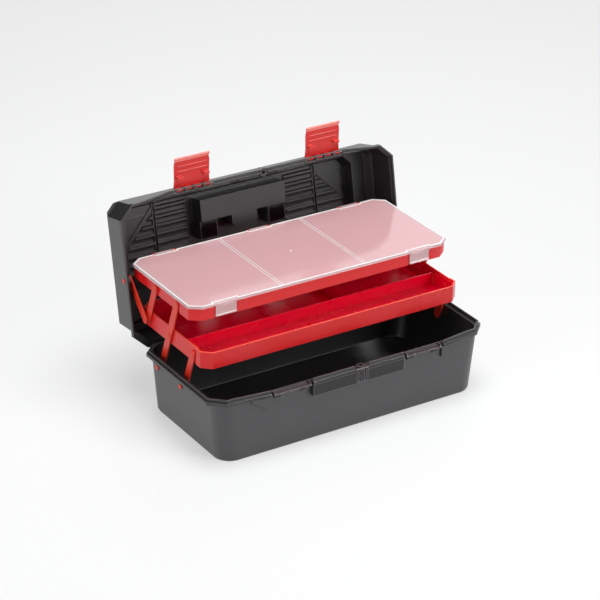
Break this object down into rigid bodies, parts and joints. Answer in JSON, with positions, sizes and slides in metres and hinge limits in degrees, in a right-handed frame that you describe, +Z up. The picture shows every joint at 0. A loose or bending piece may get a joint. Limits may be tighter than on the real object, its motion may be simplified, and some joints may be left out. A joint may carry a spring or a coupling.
{
  "type": "cantilever tool box",
  "caption": "Plastic cantilever tool box: tub, hinged ribbed lid with recessed handle and latches, and linked trays that rise and step back as it opens.",
  "frame": {"origin": "centre of the tub's underside, on the floor", "axes": "+X along the box to its right end, -Y out of the front with the latches, +Z up"},
  "size_m": [0.481, 0.356, 0.3558],
  "materials": {
    "black_plastic": "satin",
    "red_plastic": "satin gloss",
    "clear_plastic": "frosted clear",
    "pin_steel": "plain"
  },
  "bodies": {
    "base": {"base_tub": "black_plastic", "hinge_pin_left": "pin_steel", "hinge_pin_right": "pin_steel"},
    "lid": {"lid_shell": "black_plastic", "latch_pin_left": "pin_steel", "latch_pin_right": "pin_steel"},
    "handle_body": {"handle": "black_plastic"},
    "latch_left_body": {"latch_left": "red_plastic"},
    "latch_right_body": {"latch_right": "red_plastic"},
    "long_arm_left_body": {"long_arm_left": "red_plastic"},
    "long_arm_right_body": {"long_arm_right": "red_plastic"},
    "front_arm_left_body": {"front_arm_left": "red_plastic"},
    "front_arm_right_body": {"front_arm_right": "red_plastic"},
    "rear_arm_left_body": {"rear_arm_left": "red_plastic"},
    "rear_arm_right_body": {"rear_arm_right": "red_plastic"},
    "lid_link_left_body": {"lid_link_left": "red_plastic"},
    "lid_link_right_body": {"lid_link_right": "red_plastic"},
    "lower_tray_body": {"lower_tray": "red_plastic", "long_divider": "red_plastic", "cross_divider": "red_plastic"},
    "upper_tray_body": {"upper_tray": "red_plastic", "cover_pin_left": "pin_steel", "cover_pin_middle": "pin_steel", "cover_pin_right": "pin_steel"},
    "cover": {"tray_cover": "clear_plastic"}
  },
  "joints": [
    {"name": "lid_hinge", "type": "hinge", "parent": "base", "child": "lid", "pos_m": [0, 0.1114, 0.0911], "axis": [1, 0, 0], "range_deg": [0, 101.5]},
    {"name": "long_arm_left_foot", "type": "hinge", "parent": "base", "child": "long_arm_left_body", "pos_m": [-0.224, 0.0696, 0.0805], "axis": [1, 0, 0], "range_deg": [0, 45]},
    {"name": "front_arm_left_foot", "type": "hinge", "parent": "base", "child": "front_arm_left_body", "pos_m": [-0.224, 0.0021, 0.0805], "axis": [1, 0, 0], "range_deg": [0, 45]},
    {"name": "long_arm_right_foot", "type": "hinge", "parent": "base", "child": "long_arm_right_body", "pos_m": [0.224, 0.0696, 0.0805], "axis": [1, 0, 0], "range_deg": [0, 45]},
    {"name": "front_arm_right_foot", "type": "hinge", "parent": "base", "child": "front_arm_right_body", "pos_m": [0.224, 0.0021, 0.0805], "axis": [1, 0, 0], "range_deg": [0, 45]},
    {"name": "lower_tray_carry", "type": "hinge", "parent": "long_arm_left_body", "child": "lower_tray_body", "pos_m": [-0.224, 0.04754, 0.14111], "axis": [1, 0, 0], "range_deg": [-45, 0]},
    {"name": "upper_tray_carry", "type": "hinge", "parent": "long_arm_left_body", "child": "upper_tray_body", "pos_m": [-0.224, 0.02582, 0.20078], "axis": [1, 0, 0], "range_deg": [-45, 0]},
    {"name": "rear_arm_left_pivot", "type": "hinge", "parent": "lower_tray_body", "child": "rear_arm_left_body", "pos_m": [-0.224, 0.10924, 0.14111], "axis": [1, 0, 0], "range_deg": [0, 45]},
    {"name": "lid_link_left_pivot", "type": "hinge", "parent": "lid", "child": "lid_link_left_body", "pos_m": [-0.228, 0.15404, 0.18733], "axis": [1, 0, 0], "range_deg": [0, 27.33]},
    {"name": "rear_arm_right_pivot", "type": "hinge", "parent": "lower_tray_body", "child": "rear_arm_right_body", "pos_m": [0.224, 0.10924, 0.14111], "axis": [1, 0, 0], "range_deg": [0, 45]},
    {"name": "lid_link_right_pivot", "type": "hinge", "parent": "lid", "child": "lid_link_right_body", "pos_m": [0.228, 0.15404, 0.18733], "axis": [1, 0, 0], "range_deg": [0, 27.33]},
    {"name": "cover_hinge", "type": "hinge", "parent": "upper_tray_body", "child": "cover", "pos_m": [0, 0.16743, 0.20998], "axis": [1, 0, 0], "range_deg": [-78, 0]},
    {"name": "latch_left_hinge", "type": "hinge", "parent": "lid", "child": "latch_left_body", "pos_m": [-0.112, 0.16897, 0.30532], "axis": [1, 0, 0], "range_deg": [-12, 78.5]},
    {"name": "latch_right_hinge", "type": "hinge", "parent": "lid", "child": "latch_right_body", "pos_m": [0.118, 0.16897, 0.30532], "axis": [1, 0, 0], "range_deg": [-12, 78.5]},
    {"name": "handle_hinge", "type": "hinge", "parent": "lid", "child": "handle_body", "pos_m": [0, 0.21883, 0.20333], "axis": [-1, 0, 0], "range_deg": [0, 100]}
  ],
  "couplings": [
    {"joint": "long_arm_left_foot", "follows": "lid_hinge", "ratio": 0.44335},
    {"joint": "front_arm_left_foot", "follows": "lid_hinge", "ratio": 0.44335},
    {"joint": "long_arm_right_foot", "follows": "lid_hinge", "ratio": 0.44335},
    {"joint": "front_arm_right_foot", "follows": "lid_hinge", "ratio": 0.44335},
    {"joint": "lower_tray_carry", "follows": "lid_hinge", "ratio": -0.44335},
    {"joint": "upper_tray_carry", "follows": "lid_hinge", "ratio": -0.44335},
    {"joint": "rear_arm_left_pivot", "follows": "lid_hinge", "ratio": 0.44335},
    {"joint": "lid_link_left_pivot", "follows": "lid_hinge", "ratio": 0.2692},
    {"joint": "rear_arm_right_pivot", "follows": "lid_hinge", "ratio": 0.44335},
    {"joint": "lid_link_right_pivot", "follows": "lid_hinge", "ratio": 0.2692}
  ]
}
